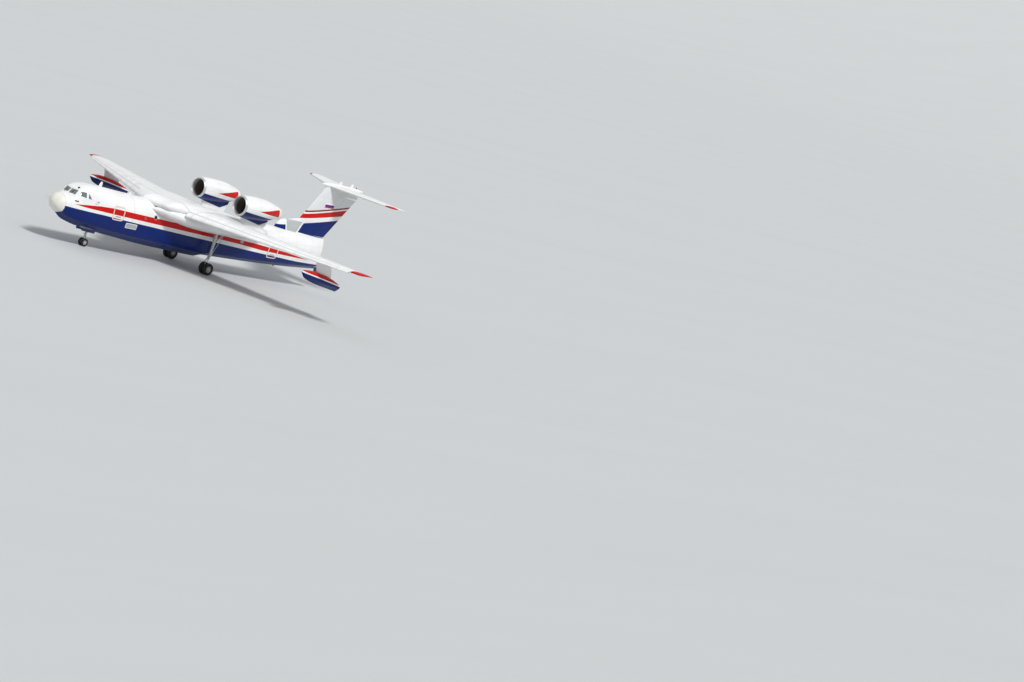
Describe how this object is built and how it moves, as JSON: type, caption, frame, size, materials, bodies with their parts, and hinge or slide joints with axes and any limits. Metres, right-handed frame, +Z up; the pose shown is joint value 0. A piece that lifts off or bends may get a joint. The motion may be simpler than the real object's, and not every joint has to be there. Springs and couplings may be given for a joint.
{
  "type": "twin-jet amphibious flying boat",
  "caption": "High-wing T-tail jet flying boat on its wheels, with stepped hull, wing floats, pylon engines above the wing roots and movable doors and control surfaces.",
  "frame": {"origin": "on the ground under the middle of the aircraft's length and span", "axes": "+X forward to the nose, +Y to port along the span, +Z up"},
  "size_m": [32.05, 32.78, 8.9],
  "materials": {
    "hull_paint": "gloss aircraft paint, white over navy with a red band",
    "wing_paint": "gloss white aircraft paint with fine panel lines",
    "tail_paint": "gloss white aircraft paint with red and navy stripes",
    "float_paint": "gloss paint, red over a white line over navy",
    "nacelle_paint": "gloss paint, white over navy with a red flash",
    "radome_cream": "cream radome coating, satin",
    "cockpit_glass": "clear grey-green laminated glass",
    "panel_black": "matt black crackle",
    "seat_shell": "moulded dark grey seat shell",
    "engine_metal": "heat-tinted steel",
    "fan_metal": "satin titanium blades",
    "gear_metal": "grey enamel with bright piston",
    "wheel_alloy": "machined alloy, lightly brushed",
    "tyre": "grooved black tyre rubber"
  },
  "bodies": {
    "airframe": {"radome": "radome_cream", "hull_bow": "hull_paint", "hull_mid": "hull_paint", "hull_aft": "hull_paint", "windscreen_left": "cockpit_glass", "windscreen_right": "cockpit_glass", "side_window_left": "cockpit_glass", "side_window_right": "cockpit_glass", "instrument_panel": "panel_black", "seat_left": "seat_shell", "seat_right": "seat_shell", "wing_centre": "wing_paint", "wing_left": "wing_paint", "wing_right": "wing_paint", "fin": "tail_paint", "dorsal_fairing": "tail_paint", "stabilizer": "wing_paint", "tail_bullet": "tail_paint", "float_left": "float_paint", "float_right": "float_paint", "float_pylon_left": "wing_paint", "float_pylon_right": "wing_paint", "gear_pod_left": "wing_paint", "gear_pod_right": "wing_paint", "nacelle_left": "nacelle_paint", "nacelle_right": "nacelle_paint", "engine_left": "engine_metal", "engine_right": "engine_metal", "engine_pylon_left": "nacelle_paint", "engine_pylon_right": "nacelle_paint", "nose_leg": "gear_metal", "nose_door_left": "hull_paint", "nose_door_right": "hull_paint", "main_leg_left": "gear_metal", "main_leg_right": "gear_metal"},
    "nose_gear_lower": {"nose_fork": "gear_metal"},
    "nose_wheels": {"nose_tyre_left": "tyre", "nose_tyre_right": "tyre", "nose_rim_left": "wheel_alloy", "nose_rim_right": "wheel_alloy"},
    "main_wheels_left": {"main_tyre_left_port": "tyre", "main_tyre_left_starboard": "tyre", "main_rim_left_port": "wheel_alloy", "main_rim_left_starboard": "wheel_alloy"},
    "main_wheels_right": {"main_tyre_right_port": "tyre", "main_tyre_right_starboard": "tyre", "main_rim_right_port": "wheel_alloy", "main_rim_right_starboard": "wheel_alloy"},
    "left_fan": {"fan_left": "fan_metal"},
    "right_fan": {"fan_right": "fan_metal"},
    "left_flap": {"flap_left": "wing_paint"},
    "right_flap": {"flap_right": "wing_paint"},
    "left_aileron": {"aileron_left": "wing_paint"},
    "right_aileron": {"aileron_right": "wing_paint"},
    "left_elevator": {"elevator_left": "wing_paint"},
    "right_elevator": {"elevator_right": "wing_paint"},
    "rudder": {"rudder": "tail_paint"},
    "water_rudder": {"water_rudder": "hull_paint"},
    "front_door": {"front_door": "hull_paint"},
    "rear_door": {"rear_door": "hull_paint"}
  },
  "joints": [
    {"name": "nose_gear_steer", "type": "hinge", "parent": "airframe", "child": "nose_gear_lower", "pos_m": [11.725, 0, 0.78], "axis": [0, 0, 1], "range_deg": [-45, 45]},
    {"name": "nose_wheels_spin", "type": "hinge", "parent": "nose_gear_lower", "child": "nose_wheels", "pos_m": [11.725, 0, 0.31], "axis": [0, 1, 0], "continuous": true},
    {"name": "left_main_wheels_spin", "type": "hinge", "parent": "airframe", "child": "main_wheels_left", "pos_m": [0.585, 2.15, 0.475], "axis": [0, 1, 0], "continuous": true},
    {"name": "right_main_wheels_spin", "type": "hinge", "parent": "airframe", "child": "main_wheels_right", "pos_m": [0.585, -2.15, 0.475], "axis": [0, 1, 0], "continuous": true},
    {"name": "left_fan_spin", "type": "hinge", "parent": "airframe", "child": "left_fan", "pos_m": [-1.5, 2.5, 5.92], "axis": [1, 0, 0], "continuous": true},
    {"name": "right_fan_spin", "type": "hinge", "parent": "airframe", "child": "right_fan", "pos_m": [-1.5, -2.5, 5.92], "axis": [1, 0, 0], "continuous": true},
    {"name": "left_flap_hinge", "type": "hinge", "parent": "airframe", "child": "left_flap", "pos_m": [1.16944, 3.45, 4.28315], "axis": [0.2555, -0.9668, -0.0049], "range_deg": [0, 38]},
    {"name": "right_flap_hinge", "type": "hinge", "parent": "airframe", "child": "right_flap", "pos_m": [1.16944, -3.45, 4.28315], "axis": [-0.2555, -0.9668, 0.0049], "range_deg": [0, 38]},
    {"name": "left_aileron_hinge", "type": "hinge", "parent": "airframe", "child": "left_aileron", "pos_m": [-0.79208, 10.65, 4.64848], "axis": [-0.2511, 0.968, 0.005], "range_deg": [-20, 20]},
    {"name": "right_aileron_hinge", "type": "hinge", "parent": "airframe", "child": "right_aileron", "pos_m": [-0.79208, -10.65, 4.64848], "axis": [0.2511, 0.968, -0.005], "range_deg": [-20, 20]},
    {"name": "left_elevator_hinge", "type": "hinge", "parent": "airframe", "child": "left_elevator", "pos_m": [-14.38508, 0.52, 8.62], "axis": [-0.2462, 0.9692, 0], "range_deg": [-15, 25]},
    {"name": "right_elevator_hinge", "type": "hinge", "parent": "airframe", "child": "right_elevator", "pos_m": [-14.38508, -0.52, 8.62], "axis": [0.2462, 0.9692, 0], "range_deg": [-15, 25]},
    {"name": "rudder_hinge", "type": "hinge", "parent": "airframe", "child": "rudder", "pos_m": [-11.78666, 0, 4.42], "axis": [-0.5465, 0, 0.8374], "range_deg": [-25, 25]},
    {"name": "water_rudder_hinge", "type": "hinge", "parent": "airframe", "child": "water_rudder", "pos_m": [-13.2, 0, 1.54], "axis": [0, 0, 1], "range_deg": [-35, 35]},
    {"name": "front_door_hinge", "type": "hinge", "parent": "airframe", "child": "front_door", "pos_m": [10.005, 1.35318, 3.664], "axis": [1, 0, 0], "range_deg": [0, 95]},
    {"name": "rear_door_hinge", "type": "hinge", "parent": "airframe", "child": "rear_door", "pos_m": [-7.265, 1.26254, 2.954], "axis": [1, 0, 0], "range_deg": [0, 95]}
  ],
  "couplings": [
    {"joint": "right_flap_hinge", "follows": "left_flap_hinge", "ratio": 1},
    {"joint": "right_aileron_hinge", "follows": "left_aileron_hinge", "ratio": -1},
    {"joint": "right_elevator_hinge", "follows": "left_elevator_hinge", "ratio": 1}
  ]
}
